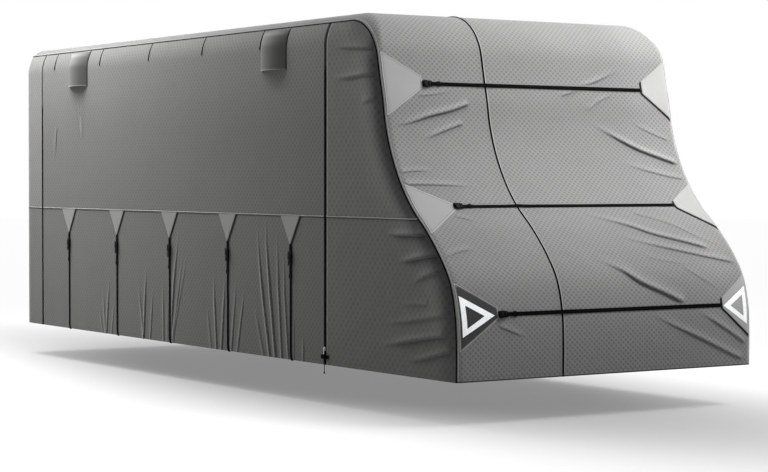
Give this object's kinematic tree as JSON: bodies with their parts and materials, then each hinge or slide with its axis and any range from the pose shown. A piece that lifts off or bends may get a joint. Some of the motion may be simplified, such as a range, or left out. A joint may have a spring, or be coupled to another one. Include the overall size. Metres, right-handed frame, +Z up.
{
  "type": "motorhome cover",
  "caption": "Fitted grey cloth cover hanging in the shape of a motorhome, with black piping, a long side zip, buckled straps, vent hoods and reflective triangles.",
  "frame": {"origin": "on the inner face of the roof cloth, at the middle of the cover's width and length", "axes": "+Z up, -Y the sloping front, -X the side with the zip and the buckles"},
  "size_m": [2.4738, 6.3493, 2.3428],
  "materials": {
    "cover_cloth": "matt non-woven cloth with a small pressed pattern",
    "hood_cloth": "matt non-woven cloth",
    "light_patch_cloth": "smooth coated cloth",
    "dark_patch_cloth": "smooth coated cloth",
    "side_patch_cloth": "smooth coated cloth",
    "reflective_film": "silvery reflective film",
    "piping": "black folded tape over a cord",
    "zip_tape": "black woven tape",
    "zip_metal": "polished",
    "webbing": "black woven webbing",
    "buckle": "moulded"
  },
  "bodies": {
    "root": {"front_roof_cloth_right": "cover_cloth", "front_roof_cloth_left": "cover_cloth", "front_side_skirt_right": "cover_cloth", "front_side_upper_right": "cover_cloth", "side_upper_right": "cover_cloth", "side_skirt_right": "cover_cloth", "side_upper_left": "cover_cloth", "side_skirt_left": "cover_cloth", "rear_skirt": "cover_cloth", "rear_upper": "cover_cloth", "edge_piping": "piping", "front_seam_piping": "piping", "rear_seam_piping_right": "piping", "rear_seam_piping_left": "piping", "zip_tape": "zip_tape", "zip_slider": "zip_metal", "zip_end_tab": "zip_tape", "front_patch_right_1": "light_patch_cloth", "front_patch_right_2": "light_patch_cloth", "front_patch_right_3": "dark_patch_cloth", "front_patch_left_1": "light_patch_cloth", "front_patch_left_2": "light_patch_cloth", "front_patch_left_3": "dark_patch_cloth", "reflective_triangle_right": "reflective_film", "reflective_triangle_left": "reflective_film", "front_strap_1": "webbing", "front_buckle_1": "buckle", "front_strap_2": "webbing", "front_buckle_2": "buckle", "front_strap_3": "webbing", "front_buckle_3": "buckle", "side_patch_right_1": "side_patch_cloth", "side_patch_right_2": "side_patch_cloth", "side_patch_right_3": "side_patch_cloth", "side_patch_right_4": "side_patch_cloth", "side_patch_right_5": "side_patch_cloth", "side_strap_right_1": "webbing", "side_strap_right_2": "webbing", "side_strap_right_3": "webbing", "side_strap_right_4": "webbing", "side_strap_right_5": "webbing", "vent_flap_right_1": "hood_cloth", "vent_flap_right_2": "hood_cloth", "side_patch_left_1": "side_patch_cloth", "side_patch_left_2": "side_patch_cloth", "side_patch_left_3": "side_patch_cloth", "side_patch_left_4": "side_patch_cloth", "side_patch_left_5": "side_patch_cloth", "side_strap_left_1": "webbing", "side_strap_left_2": "webbing", "side_strap_left_3": "webbing", "side_strap_left_4": "webbing", "side_strap_left_5": "webbing", "vent_flap_left_1": "hood_cloth", "vent_flap_left_2": "hood_cloth", "side_buckle_right_1": "buckle", "side_buckle_right_2": "buckle", "side_buckle_right_3": "buckle", "side_buckle_right_4": "buckle", "side_buckle_right_5": "buckle"}
  },
  "joints": []
}
